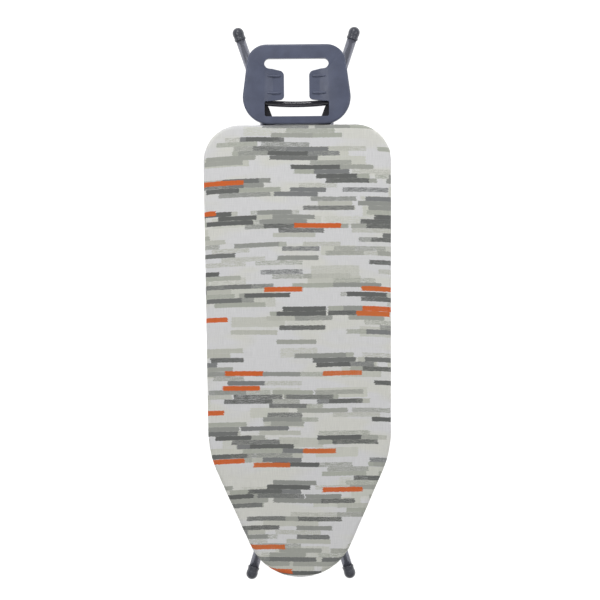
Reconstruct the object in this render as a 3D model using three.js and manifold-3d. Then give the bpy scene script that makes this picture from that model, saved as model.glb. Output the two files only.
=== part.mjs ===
// Folding ironing board, folded flat, in millimetres.
// The board lies cloth side up: +Z up, +Y towards the iron rest, -Y towards the nose, +X to the right.
// The origin is on the floor under the middle of the folded object.
import * as THREE from "three";
import { mergeVertices } from "three/addons/utils/BufferGeometryUtils.js";
import Module from "manifold-3d";

const wasm = await Module();
wasm.setup();

// ---------------------------------------------------------------- driving dimensions

const GAP = 0.3; // between pieces that touch

// Heights above the floor, folded.
const LEG_Z = 13; // the plane that both legs lie in
const SUPPORT_Z = [26.2, 28.7]; // steel plate under the iron rest
const HEM_Z = [29.0, 29.8]; // cover hem, drawn in under the rim
const RIM_Z = [30.1, 44];
const BRACE_Z = [31, 42.9];
const MESH_Z = [43.2, 44];
const PAD_Z = [44.3, 49.3];
const COVER_TOP_Z = [49.6, 50.6];

// Board outline: the hull of five circles, two at the square end, two at the shoulders, one at the nose.
const HALF_WIDTH = 216;
const SQUARE_END_Y = 410;
const NOSE_Y = -630;
const CORNER_R = 83;
const SHOULDER_R = 237;
const SHOULDER_HALF = 210.5;
const SHOULDER_Y = -292;
const NOSE_R = 127;

const COVER_T = 1.2;
const HEM_REACH = 30;
const RIM_INSET = COVER_T + GAP;
const RIM_T = 2.5;
const MESH_INSET = RIM_INSET + RIM_T + GAP;

// Legs: two pairs of bent tubes that cross at their middle pivot.
const TUBE_R = 11;
const TUBE_WALL = 1.2;
const TUBE_SIDES = 16;
const HINGE_REACH = 380; // middle pivot to the hinge or slide rod, on both legs
const TUBE_END = 11; // tube beyond its hinge or slide rod
const BEND_R = 90;
const OUTER_X = 74;
const INNER_X = 38;
const FOOT_Y = 624; // centre of the round end of a foot cap
const OUTER_FOOT = { x: 134, splay: THREE.MathUtils.degToRad(18.5) };
const INNER_FOOT = { x: 113, splay: THREE.MathUtils.degToRad(17) };
const CAP_R = 13;
const CAP_LENGTH = 30;
const PIN_R = 4;
const PIN_HOLE_R = 4.35;
const EAR_T = 2; // hinge bracket ears
const EAR_CLEAR = 1.5; // between a tube and an ear

// Height rails, and the bar between them that releases the slide rod.
const RAIL_X = [18, 20.2];
const RAIL_Y = [8, 395];
const RAIL_Z = [2.5, BRACE_Z[0] - GAP];
const BUSH_R = 6;
const SLOT_R = BUSH_R + 0.4;
const HIGHEST_Y = 22.7; // slide rod with the board at its highest
const NOTCH_PITCH = 45;
const NOTCH_COUNT = 7;
const NOTCH_TOP = 25.2;
const RELEASE_X = 17.2;
const RELEASE_TRAVEL = 10;
const GUIDE_Y = [42, 177, 312];
const GUIDE_Z = 26.3;
const LEVER_PIVOT = [74, 330];
const LEVER_PIN_X = 4;

// Cross braces, by the middle of their width.
const BRACE_WIDTH = 20;
const BRACES = {
  nose_brace: -540,
  hinge_brace: -380,
  waist_brace: -180,
  rail_front_brace: 24,
  lever_brace: 290,
  rail_rear_brace: 374,
};
const HINGE_BRACE_BOTTOM = 33;

// Iron rest.
const REST_Z = [SUPPORT_Z[1] + GAP, 53];
const REST_WALL = 3;
const WING_TOP = 47;
const REST_CORNERS = [
  [69, 549.5, 45],
  [62, 473.5, 62],
];
const SUPPORT_BOLTS = [56, 370];
const BOLT_HOLE_R = 2.8;
const REST_SCREWS = [
  [90, 430],
  [88, 522],
];

// ---------------------------------------------------------------- finishes

const finish = (color, roughness, metalness) => ({ color, roughness, metalness });
const COTTON = finish(0xcdcdca, 0.9, 0);
const FOAM = finish(0xe4ddc8, 0.95, 0);
const ELASTIC = finish(0xe8e8e4, 0.85, 0);
const SLATE_PLASTIC = finish(0x5d6276, 0.5, 0);
const GREY_PLASTIC = finish(0x53565e, 0.5, 0);
const SLATE_PAINT = finish(0x666873, 0.4, 0.3);
const BLACK_PAINT = finish(0x232329, 0.35, 0.3);
const ZINC = finish(0xb9bcc0, 0.35, 0.9);
const NYLON = finish(0xe9e9e2, 0.5, 0);

// ---------------------------------------------------------------- solids

function solid(geometry) {
  const bare = geometry.clone().deleteAttribute("normal").deleteAttribute("uv");
  const merged = mergeVertices(bare, 1e-4);
  return new wasm.Manifold(
    new wasm.Mesh({
      numProp: 3,
      vertProperties: merged.attributes.position.array,
      triVerts: new Uint32Array(merged.index.array),
    }),
  );
}

function geometryOf(body) {
  const mesh = body.simplify(0.005).getMesh();
  const geometry = new THREE.BufferGeometry();
  geometry.setAttribute("position", new THREE.BufferAttribute(mesh.vertProperties, 3));
  geometry.setIndex(new THREE.BufferAttribute(mesh.triVerts, 1));
  return geometry;
}

const cut = (body, ...tools) => tools.reduce((left, tool) => left.subtract(tool), body);
const join = (body, ...others) => others.reduce((left, other) => left.add(other), body);

// A flat shape extruded along Z, along X (its own x and y become Y and Z),
// or along Y (they become X and Z).
function extrude(shape, depth, matrix, segments) {
  const options = { depth, bevelEnabled: false, curveSegments: segments };
  const geometry = new THREE.ExtrudeGeometry(shape, options);
  return solid(geometry.applyMatrix4(matrix));
}

function extrudeZ(shape, [low, high], segments = 8) {
  return extrude(shape, high - low, new THREE.Matrix4().makeTranslation(0, 0, low), segments);
}

function extrudeX(shape, [low, high], segments = 8) {
  const matrix = new THREE.Matrix4().set(0, 0, 1, low, 1, 0, 0, 0, 0, 1, 0, 0, 0, 0, 0, 1);
  return extrude(shape, high - low, matrix, segments);
}

function extrudeY(shape, [low, high], segments = 8) {
  const matrix = new THREE.Matrix4().set(1, 0, 0, 0, 0, 0, -1, high, 0, 1, 0, 0, 0, 0, 0, 1);
  return extrude(shape, high - low, matrix, segments);
}

// A closed outline through [x, y, corner radius] points.
function rounded(corners) {
  const shape = new THREE.Shape();
  corners.forEach(([x, y, radius = 0], i) => {
    const corner = new THREE.Vector2(x, y);
    const [before, after] = [corners.at(i - 1), corners[(i + 1) % corners.length]].map(([nx, ny]) =>
      new THREE.Vector2(nx, ny).sub(corner),
    );
    const turn = before.angleTo(after) / 2;
    const reach = Math.min(radius / Math.tan(turn), before.length() / 2, after.length() / 2);
    const start = corner.clone().addScaledVector(before.normalize(), reach);
    const end = corner.clone().addScaledVector(after.normalize(), reach);
    if (i === 0) shape.moveTo(start.x, start.y);
    else shape.lineTo(start.x, start.y);
    if (radius > 0) shape.quadraticCurveTo(x, y, end.x, end.y);
  });
  shape.closePath();
  return shape;
}

const rectangle = ([x0, x1], [y0, y1], radius = 0) =>
  rounded([
    [x0, y0, radius],
    [x1, y0, radius],
    [x1, y1, radius],
    [x0, y1, radius],
  ]);

function box([x0, x1], [y0, y1], [z0, z1]) {
  const geometry = new THREE.BoxGeometry(x1 - x0, y1 - y0, z1 - z0);
  return solid(geometry.translate((x0 + x1) / 2, (y0 + y1) / 2, (z0 + z1) / 2));
}

// A profile of [radius, distance] points turned about a line from a point in a direction.
function turned(profile, from, direction, sides = 24) {
  const geometry = new THREE.LatheGeometry(
    profile.map(([radius, along]) => new THREE.Vector2(radius, along)),
    sides,
  );
  const along = new THREE.Vector3(...direction).normalize();
  geometry.applyQuaternion(new THREE.Quaternion().setFromUnitVectors(new THREE.Vector3(0, 1, 0), along));
  return solid(geometry.translate(...from));
}

const rod = (from, direction, length, radius, sides = 24) =>
  turned(
    [
      [0, 0],
      [radius, 0],
      [radius, length],
      [0, length],
    ],
    from,
    direction,
    sides,
  );

const ring = (from, direction, length, inner, outer, sides = 24) =>
  turned(
    [
      [inner, 0],
      [outer, 0],
      [outer, length],
      [inner, length],
      [inner, 0],
    ],
    from,
    direction,
    sides,
  );

// The outline of the hull of circles [x, y, radius], listed anticlockwise,
// each circle made smaller by inset.
function hullOutline(circles, inset = 0) {
  const shrunk = circles.map(([x, y, radius]) => [x, y, radius - inset]);
  const normals = shrunk.map(([x, y, radius], i) => {
    const [nx, ny, nextRadius] = shrunk[(i + 1) % shrunk.length];
    const distance = Math.hypot(nx - x, ny - y);
    return Math.atan2(ny - y, nx - x) - Math.acos((radius - nextRadius) / distance);
  });
  const shape = new THREE.Shape();
  shrunk.forEach(([x, y, radius], i) => {
    const start = normals.at(i - 1);
    let end = normals[i];
    while (end < start) end += 2 * Math.PI;
    shape.absarc(x, y, radius, start, end, false);
  });
  shape.closePath();
  return shape;
}

function boardOutline(inset) {
  const corner = [HALF_WIDTH - CORNER_R, SQUARE_END_Y - CORNER_R, CORNER_R];
  const shoulder = [SHOULDER_HALF - SHOULDER_R, SHOULDER_Y, SHOULDER_R];
  const mirrored = ([x, y, radius]) => [-x, y, radius];
  const nose = [0, NOSE_Y + NOSE_R, NOSE_R];
  return hullOutline([nose, shoulder, corner, mirrored(corner), mirrored(shoulder)], inset);
}

const boardSlab = (inset, heights) => extrudeZ(boardOutline(inset), heights, 9);

// ---------------------------------------------------------------- nodes

const ironingBoard = new THREE.Group();
ironingBoard.name = "ironing_board";

function node(name, body, look) {
  const mesh = new THREE.Mesh(geometryOf(body), new THREE.MeshStandardMaterial(look));
  mesh.name = name;
  ironingBoard.add(mesh);
}

const sides = [
  ["left", -1],
  ["right", 1],
];

// ---------------------------------------------------------------- cloth top

function cover() {
  const shell = boardSlab(0, [HEM_Z[0], COVER_TOP_Z[1]]);
  const inside = boardSlab(COVER_T, [HEM_Z[1], COVER_TOP_Z[0]]);
  const mouth = boardSlab(HEM_REACH, [HEM_Z[0] - 1, HEM_Z[1] + 1]);
  return cut(shell, inside, mouth);
}

function hemElastic() {
  const [low, high] = [HEM_Z[0], HEM_Z[0] + 1.6];
  const outer = HEM_REACH + GAP;
  const cordWidth = 2.2;
  return cut(boardSlab(outer, [low, high]), boardSlab(outer + cordWidth, [low - 1, high + 1]));
}

node("cover", cover(), COTTON);
node("hem_elastic", hemElastic(), ELASTIC);
node("foam_pad", boardSlab(RIM_INSET, PAD_Z), FOAM);

// ---------------------------------------------------------------- steel top

// Rows of lozenge steam holes, every other row moved along by half a pitch.
function meshPanel() {
  const outline = boardOutline(MESH_INSET);
  const margin = new THREE.Shape(boardOutline(MESH_INSET + 26).getPoints(10));
  const [pitchX, pitchY] = [60, 48];
  const lozenge = [21, 13];
  const inMargin = (x, y) => {
    const points = margin.getPoints();
    return points.every((a, i) => {
      const b = points[(i + 1) % points.length];
      return (b.x - a.x) * (y - a.y) - (b.y - a.y) * (x - a.x) >= 0;
    });
  };
  for (let row = -13; row <= 8; row++) {
    const shift = row % 2 ? pitchX / 2 : 0;
    for (let column = -4; column <= 4; column++) {
      const [x, y] = [column * pitchX + shift, row * pitchY];
      if (!inMargin(x, y)) continue;
      const hole = new THREE.Path();
      hole.moveTo(x - lozenge[0], y);
      hole.lineTo(x, y + lozenge[1]);
      hole.lineTo(x + lozenge[0], y);
      hole.lineTo(x, y - lozenge[1]);
      hole.closePath();
      outline.holes.push(hole);
    }
  }
  return extrudeZ(outline, MESH_Z, 9);
}

function edgeRim() {
  const [low, high] = RIM_Z;
  return cut(boardSlab(RIM_INSET, RIM_Z), boardSlab(RIM_INSET + RIM_T, [low - 1, high + 1]));
}

// A pressed channel, open upwards, that runs from rim to rim.
function brace(y, bottom) {
  const [half, wall, top] = [BRACE_WIDTH / 2, 1.5, BRACE_Z[1]];
  const section = rounded([
    [y - half, bottom, 1.5],
    [y + half, bottom, 1.5],
    [y + half, top],
    [y + half - wall, top],
    [y + half - wall, bottom + wall, 0.8],
    [y - half + wall, bottom + wall, 0.8],
    [y - half + wall, top],
    [y - half, top],
  ]);
  const channel = extrudeX(section, [-HALF_WIDTH, HALF_WIDTH], 2);
  return channel.intersect(boardSlab(MESH_INSET, BRACE_Z));
}

const supportBoltHoles = () =>
  sides.map(([, side]) => {
    const [x, y] = SUPPORT_BOLTS;
    return rod([side * x, y, 20], [0, 0, 1], 30, BOLT_HOLE_R, 16);
  });

node("mesh_panel", meshPanel(), SLATE_PAINT);
node("edge_rim", edgeRim(), SLATE_PAINT);
for (const [name, y] of Object.entries(BRACES)) {
  const bottom = name === "hinge_brace" ? HINGE_BRACE_BOTTOM : BRACE_Z[0];
  const holes = name === "rail_rear_brace" ? supportBoltHoles() : [];
  node(name, cut(brace(y, bottom), ...holes), SLATE_PAINT);
}

// ---------------------------------------------------------------- legs

// A path known only at set stations, so that straight stretches cost one step.
class StationPath extends THREE.Curve {
  constructor(stations) {
    super();
    this.stations = stations;
  }
  station(u) {
    return this.stations[Math.round(u * (this.stations.length - 1))];
  }
  getPoint(u) {
    return this.station(u).point.clone();
  }
  getPointAt(u) {
    return this.station(u).point.clone();
  }
  getTangentAt(u) {
    return this.station(u).tangent.clone();
  }
}

// One tube of a leg: straight from its hinge end, then bent outwards by the splay to its foot.
// forward is +1 for the outer leg, whose foot is at +Y, and -1 for the inner leg.
function legPath(side, forward, x, foot) {
  const { splay } = foot;
  const bendY = FOOT_Y - (foot.x - x) / Math.tan(splay);
  const tangentLength = BEND_R * Math.tan(splay / 2);
  const steps = 4;
  const stations = [];
  const add = (across, along, angle) =>
    stations.push({
      point: new THREE.Vector3(side * across, forward * along, LEG_Z),
      tangent: new THREE.Vector3(side * Math.sin(angle), forward * Math.cos(angle), 0),
    });
  add(x, -HINGE_REACH - TUBE_END, 0);
  for (let i = 0; i <= steps; i++) {
    const angle = (splay * i) / steps;
    add(x + BEND_R * (1 - Math.cos(angle)), bendY - tangentLength + BEND_R * Math.sin(angle), angle);
  }
  add(foot.x - 2 * Math.sin(splay), FOOT_Y - 2 * Math.cos(splay), splay);
  return new StationPath(stations);
}

function sweep(path, radius, bore = 0) {
  const section = new THREE.Shape().absarc(0, 0, radius, 0, 2 * Math.PI, false);
  if (bore) section.holes.push(new THREE.Path().absarc(0, 0, bore, 0, 2 * Math.PI, true));
  const options = { steps: path.stations.length - 1, extrudePath: path, curveSegments: TUBE_SIDES / 2 };
  return solid(new THREE.ExtrudeGeometry(section, options));
}

const crossHole = (x, y) => rod([x - 30, y, LEG_Z], [1, 0, 0], 60, PIN_HOLE_R, 20);

function legTube(side, forward, x, foot) {
  const tube = sweep(legPath(side, forward, x, foot), TUBE_R, TUBE_R - TUBE_WALL);
  return cut(tube, crossHole(side * x, 0), crossHole(side * x, -forward * HINGE_REACH));
}

// A moulded cup with a round end and two grip ribs, pushed over the end of a tube.
function footCap(side, forward, foot) {
  const bore = TUBE_R + GAP;
  const profile = [
    [0, CAP_R],
    [CAP_R * 0.55, CAP_R * 0.86],
    [CAP_R * 0.86, CAP_R * 0.52],
    [CAP_R, 0],
    [CAP_R, -CAP_LENGTH + 2 * CAP_R],
    [CAP_R - 0.8, -CAP_LENGTH + 2 * CAP_R - 1],
    [CAP_R - 0.8, -CAP_LENGTH + CAP_R + 1.5],
    [CAP_R, -CAP_LENGTH + CAP_R + 0.5],
    [CAP_R, -CAP_LENGTH + CAP_R - 1],
    [CAP_R - 0.6, -CAP_LENGTH + CAP_R - 1.8],
    [bore, -CAP_LENGTH + CAP_R - 1.8],
    [bore, 2],
    [0, 2],
  ];
  const direction = [side * Math.sin(foot.splay), forward * Math.cos(foot.splay), 0];
  return turned(profile.reverse(), [side * foot.x, forward * FOOT_Y, LEG_Z], direction, 24);
}

// A plug with a thin head that closes the hinge end of a tube.
function endPlug(side, forward, x) {
  const stem = TUBE_R - TUBE_WALL - 0.4;
  const profile = [
    [0, -5.5],
    [stem, -5.5],
    [stem, GAP],
    [TUBE_R - 0.3, GAP],
    [TUBE_R - 0.8, GAP + 1.2],
    [0, GAP + 1.2],
  ];
  return turned(profile, [side * x, -forward * (HINGE_REACH + TUBE_END), LEG_Z], [0, -forward, 0], 20);
}

// A tube between the two tubes of a leg, its ends shaped to fit round them.
function crossTube(forward, x, foot, y, radius) {
  const bar = ring([-100, forward * y, LEG_Z], [1, 0, 0], 200, radius - TUBE_WALL, radius, 20);
  const clear = sides.map(([, side]) => sweep(legPath(side, forward, x, foot), TUBE_R + GAP));
  const outside = sides.map(([, side]) => {
    const bendY = FOOT_Y - (foot.x - x) / Math.tan(foot.splay);
    const axisX = side * (x + Math.max(0, y - bendY) * Math.tan(foot.splay));
    const beyond = [axisX, axisX + side * 120].sort((a, b) => a - b);
    return box(beyond, [forward * y - 20, forward * y + 20], [0, 30]);
  });
  return cut(bar, ...clear, ...outside);
}

for (const [word, side] of sides) {
  node(`outer_leg_tube_${word}`, legTube(side, 1, OUTER_X, OUTER_FOOT), SLATE_PAINT);
  node(`inner_leg_tube_${word}`, legTube(side, -1, INNER_X, INNER_FOOT), SLATE_PAINT);
  node(`outer_foot_cap_${word}`, footCap(side, 1, OUTER_FOOT), GREY_PLASTIC);
  node(`inner_foot_cap_${word}`, footCap(side, -1, INNER_FOOT), GREY_PLASTIC);
  node(`outer_tube_plug_${word}`, endPlug(side, 1, OUTER_X), GREY_PLASTIC);
  node(`inner_tube_plug_${word}`, endPlug(side, -1, INNER_X), GREY_PLASTIC);
}
node("outer_leg_crossbar", crossTube(1, OUTER_X, OUTER_FOOT, 416, 8), SLATE_PAINT);
node("inner_leg_crossbar", crossTube(-1, INNER_X, INNER_FOOT, 470, 8), SLATE_PAINT);

// ---------------------------------------------------------------- pivots

const axle = (half, y) => rod([-half, y, LEG_Z], [1, 0, 0], 2 * half, PIN_R);

// A push-on cap that starts clear of a tube's side and covers the end of a rod.
function pushCap(side, x, y, rodEnd) {
  const bore = PIN_R + GAP;
  const profile = [
    [bore, 0],
    [7, 0],
    [7, 2],
    [6, 4],
    [0, rodEnd - x + 2.2],
    [0, rodEnd - x + GAP],
    [bore, rodEnd - x + GAP],
    [bore, 0],
  ];
  return turned(profile, [side * x, y, LEG_Z], [side, 0, 0]);
}

const middleRodEnd = OUTER_X + TUBE_R + 4;
const slideRodEnd = INNER_X + TUBE_R + 4;
node("middle_pivot_rod", axle(middleRodEnd, 0), ZINC);
node("slide_rod", axle(slideRodEnd, HINGE_REACH), ZINC);
node(
  "middle_spacer",
  ring([-(INNER_X - TUBE_R) + GAP, 0, LEG_Z], [1, 0, 0], 2 * (INNER_X - TUBE_R - GAP), PIN_HOLE_R, 6.5),
  NYLON,
);
for (const [word, side] of sides) {
  const washerStart = [side * (INNER_X + TUBE_R + GAP), 0, LEG_Z];
  const washerLength = OUTER_X - INNER_X - 2 * TUBE_R - 2 * GAP;
  const washer = ring(washerStart, [side, 0, 0], washerLength, PIN_HOLE_R, 8);
  node(`middle_washer_${word}`, washer, NYLON);
  node(`middle_rod_cap_${word}`, pushCap(side, OUTER_X + TUBE_R + GAP, 0, middleRodEnd), ZINC);
  node(`slide_rod_cap_${word}`, pushCap(side, INNER_X + TUBE_R + GAP, HINGE_REACH, slideRodEnd), ZINC);
  const bushProfile = [
    [PIN_HOLE_R, 0],
    [BUSH_R, 0],
    [BUSH_R, RAIL_X[1] - RAIL_X[0] + 2 * GAP],
    [BUSH_R + 2.5, RAIL_X[1] - RAIL_X[0] + 2 * GAP],
    [BUSH_R + 2.5, INNER_X - TUBE_R - RAIL_X[0]],
    [PIN_HOLE_R, INNER_X - TUBE_R - RAIL_X[0]],
    [PIN_HOLE_R, 0],
  ];
  const bushStart = [side * (RAIL_X[0] - GAP), HINGE_REACH, LEG_Z];
  node(`slide_bush_${word}`, turned(bushProfile, bushStart, [side, 0, 0]), NYLON);
}

// A folded saddle under the hinge brace, its two ears on either side of an outer tube.
function hingeBracket(side) {
  const [inner, outer] = [OUTER_X - TUBE_R - EAR_CLEAR, OUTER_X + TUBE_R + EAR_CLEAR];
  const wall = EAR_T;
  const top = HINGE_BRACE_BOTTOM - GAP;
  const ear = rounded([
    [-HINGE_REACH - 13, top],
    [-HINGE_REACH - 9, LEG_Z - 9, 9],
    [-HINGE_REACH + 9, LEG_Z - 9, 9],
    [-HINGE_REACH + 13, top],
  ]);
  const ears = [inner - wall, outer].map((x) => {
    const span = [side * x, side * (x + wall)].sort((a, b) => a - b);
    return extrudeX(ear, span, 6);
  });
  const webX = [side * (inner - wall), side * (outer + wall)].sort((a, b) => a - b);
  const web = box(webX, [-HINGE_REACH - 13, -HINGE_REACH + 13], [top - wall, top]);
  return cut(join(web, ...ears), crossHole(side * OUTER_X, -HINGE_REACH));
}

// A pin with a rounded rivet head at each end.
function rivet(from, direction, length, shank, head, headHeight, facets = 16) {
  const profile = [
    [0, -headHeight],
    [head * 0.7, -headHeight],
    [head, -headHeight * 0.35],
    [head, 0],
    [shank, 0],
    [shank, length],
    [head, length],
    [head, length + headHeight * 0.35],
    [head * 0.7, length + headHeight],
    [0, length + headHeight],
  ];
  return turned(profile, from, direction, facets);
}

for (const [word, side] of sides) {
  const reach = TUBE_R + EAR_CLEAR + EAR_T + GAP;
  const pinStart = [side * (OUTER_X - reach), -HINGE_REACH, LEG_Z];
  node(`hinge_bracket_${word}`, hingeBracket(side), ZINC);
  node(`hinge_pin_${word}`, rivet(pinStart, [side, 0, 0], 2 * reach, PIN_R, 6.5, 2.5, 20), ZINC);
}

// ---------------------------------------------------------------- height rails

const notchY = Array.from({ length: NOTCH_COUNT }, (_, i) => HIGHEST_Y + i * NOTCH_PITCH);

function rail(side) {
  const [front, rear] = RAIL_Y;
  const plate = rounded([
    [front, RAIL_Z[0], 6],
    [rear, RAIL_Z[0], 6],
    [rear, 26.5, 5],
    [rear - 20, 26.5, 2],
    [rear - 20, RAIL_Z[1]],
    [front, RAIL_Z[1]],
  ]);
  const slotY = [HIGHEST_Y - SLOT_R, HINGE_REACH + SLOT_R];
  const slot = rectangle(slotY, [LEG_Z - SLOT_R, LEG_Z + SLOT_R], SLOT_R * 0.98);
  const notches = notchY.map((y) =>
    extrudeX(rectangle([y - SLOT_R, y + SLOT_R], [LEG_Z, NOTCH_TOP], 4.5), [10, 30], 5),
  );
  const guides = GUIDE_Y.map((y) => rod([10, y, GUIDE_Z], [1, 0, 0], 20, 1.75, 12));
  const flange = box([RAIL_X[0], 26], [front, rear - 20], [RAIL_Z[1] - 1.8, RAIL_Z[1]]);
  const folded = join(extrudeX(plate, RAIL_X, 4), flange);
  const right = cut(folded, extrudeX(slot, [10, 30], 5), ...notches, ...guides);
  return side > 0 ? right : right.mirror([1, 0, 0]);
}

// An upturned channel whose saw-cut edges push the slide rod down out of the rail notches.
function releaseBar() {
  const [front, rear, bottom, top] = [12, 350, LEG_Z + BUSH_R + 0.9, RAIL_Z[1] - 0.4];
  const wall = 1.8;
  const body = cut(
    box([-RELEASE_X, RELEASE_X], [front, rear], [bottom, top]),
    box([-RELEASE_X + wall, RELEASE_X - wall], [front - 1, rear + 1], [bottom - 1, top - wall]),
  );
  const teeth = notchY.map((y) =>
    extrudeX(
      rounded([
        [y - SLOT_R - 0.4, bottom - 1],
        [y + SLOT_R + 6.5, bottom - 1],
        [y + SLOT_R, NOTCH_TOP, 2],
        [y - SLOT_R - 0.4, NOTCH_TOP, 3],
      ]),
      [-30, 30],
      3,
    ),
  );
  const guideSlots = GUIDE_Y.map((y) =>
    extrudeX(rectangle([y - 2.1, y + RELEASE_TRAVEL + 2.1], [GUIDE_Z - 1.8, GUIDE_Z + 1.4]), [-30, 30]),
  );
  const driveY = LEVER_PIVOT[1];
  const driveSlot = rectangle([LEVER_PIN_X - 3.4, LEVER_PIN_X + 4.4], [driveY - 3.1, driveY + 3.1]);
  const springHole = rod([0, rear - 5, 20], [0, 0, 1], 20, 1.6, 12);
  return cut(body, ...teeth, ...guideSlots, extrudeZ(driveSlot, [20, 40]), springHole);
}

node("rail_left", rail(-1), ZINC);
node("rail_right", rail(1), ZINC);
node("release_bar", releaseBar(), ZINC);
["front", "middle", "rear"].forEach((word, i) => {
  const half = RAIL_X[1] + GAP;
  const start = [-half, GUIDE_Y[i], GUIDE_Z];
  node(`guide_pin_${word}`, rivet(start, [1, 0, 0], 2 * half, 1.4, 2.3, 1.2, 10), ZINC);
});

// A close-wound extension spring between the release bar and the rear brace.
function returnSpring() {
  const [turns, perTurn, coilR, wireR] = [6, 8, 3, 0.6];
  const [start, pitch, height] = [352, 2, 26.7];
  const stations = [];
  for (let i = 0; i <= turns * perTurn; i++) {
    const angle = (2 * Math.PI * i) / perTurn;
    const point = new THREE.Vector3(
      coilR * Math.cos(angle),
      start + (pitch * i) / perTurn,
      height + coilR * Math.sin(angle),
    );
    const tangent = new THREE.Vector3(
      -coilR * Math.sin(angle),
      pitch / (2 * Math.PI),
      coilR * Math.cos(angle),
    ).normalize();
    stations.push({ point, tangent });
  }
  const section = new THREE.Shape().absarc(0, 0, wireR, 0, 2 * Math.PI, false);
  const extrudePath = new StationPath(stations);
  const options = { steps: stations.length - 1, extrudePath, curveSegments: 3 };
  return solid(new THREE.ExtrudeGeometry(section, options));
}

node("return_spring", returnSpring(), ZINC);

// ---------------------------------------------------------------- release lever

const [pivotX, pivotY] = LEVER_PIVOT;
const LEVER_Z = 31.4; // under the lever strip where it crosses the rails
const LEVER_T = 2.6;
const LEVER_HALF = 7;
const LEVER_DROP = 12; // from the rails down to the grip
const STRAP_Z = [BRACE_Z[0] - GAP - 2.2, BRACE_Z[0] - GAP];

const pivotHole = () => rod([pivotX, pivotY, 20], [0, 0, 1], 20, 3.3, 16);

// A strap between two braces that carries the lever's pivot.
function leverStrap() {
  const alongY = [BRACES.lever_brace - 9, BRACES.rail_rear_brace + 1];
  const strap = extrudeZ(rectangle([pivotX - 10, pivotX + 10], alongY, 3), STRAP_Z);
  return cut(strap, pivotHole());
}

// A bent strip: flat over the rails, down past the leg, and out to the grip.
function leverArm() {
  const strip = rounded([
    [LEVER_PIN_X - 8, LEVER_Z],
    [89, LEVER_Z, 3],
    [101, LEVER_Z - LEVER_DROP, 5],
    [196, LEVER_Z - LEVER_DROP],
    [196, LEVER_Z - LEVER_DROP + LEVER_T],
    [102, LEVER_Z - LEVER_DROP + LEVER_T, 3],
    [90, LEVER_Z + LEVER_T, 5],
    [LEVER_PIN_X - 8, LEVER_Z + LEVER_T],
  ]);
  const body = extrudeY(strip, [pivotY - LEVER_HALF, pivotY + LEVER_HALF], 4);
  const pinHole = rod([LEVER_PIN_X, pivotY, 20], [0, 0, 1], 20, 2.8, 16);
  return cut(body, pivotHole(), pinHole);
}

// A soft grip with a blind slot for the strip.
function leverGrip() {
  const middle = LEVER_Z - LEVER_DROP + LEVER_T / 2;
  const [half, tall] = [11, 8];
  const section = rounded([
    [pivotY - half, middle - tall, 7],
    [pivotY + half, middle - tall, 7],
    [pivotY + half, middle + tall, 7],
    [pivotY - half, middle + tall, 7],
  ]);
  const slot = box(
    [110, 196 + GAP],
    [pivotY - LEVER_HALF - GAP, pivotY + LEVER_HALF + GAP],
    [middle - LEVER_T / 2 - GAP, middle + LEVER_T / 2 + GAP],
  );
  return cut(extrudeX(section, [118, 202], 6), slot);
}

node("lever_strap", leverStrap(), ZINC);
node("lever_arm", leverArm(), ZINC);
node("lever_grip", leverGrip(), SLATE_PLASTIC);
const up = [0, 0, 1];
const leverTop = LEVER_Z + LEVER_T + GAP;
const pivotBottom = STRAP_Z[0] - GAP;
const driveBottom = RAIL_Z[1] - 2.2;
const pivotRivet = rivet([pivotX, pivotY, pivotBottom], up, leverTop - pivotBottom, 3, 5, 2);
const driveRivet = rivet([LEVER_PIN_X, pivotY, driveBottom], up, leverTop - driveBottom, 2.5, 2.5, 1.6);
node("lever_pivot", pivotRivet, ZINC);
node("lever_drive_pin", driveRivet, ZINC);

// ---------------------------------------------------------------- iron rest

const restOutline = (inset) => {
  const right = REST_CORNERS.map(([x, y, radius]) => [x, y, radius]);
  const left = REST_CORNERS.map(([x, y, radius]) => [-x, y, radius]);
  return hullOutline([right[1], right[0], left[0], left[1]], inset);
};

// The opening: a hand slot at the top, a narrow waist between the two wings, and a wide foot.
function restOpening(grow) {
  const right = [
    [74 + grow, 562 + grow, 11 + grow],
    [74 + grow, 540 - grow, 11 + grow],
    [56, 539 - grow, 4],
    [29 + grow, 532 - grow, 9],
    [29 + grow, 468 + grow, 8],
    [74 + grow, 463.5 + grow, 2],
    [74 + grow, 429 - grow, 5],
  ];
  const left = right.map(([x, y, radius]) => [-x, y, radius]).reverse();
  return rounded([...left, ...right].reverse());
}

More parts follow.
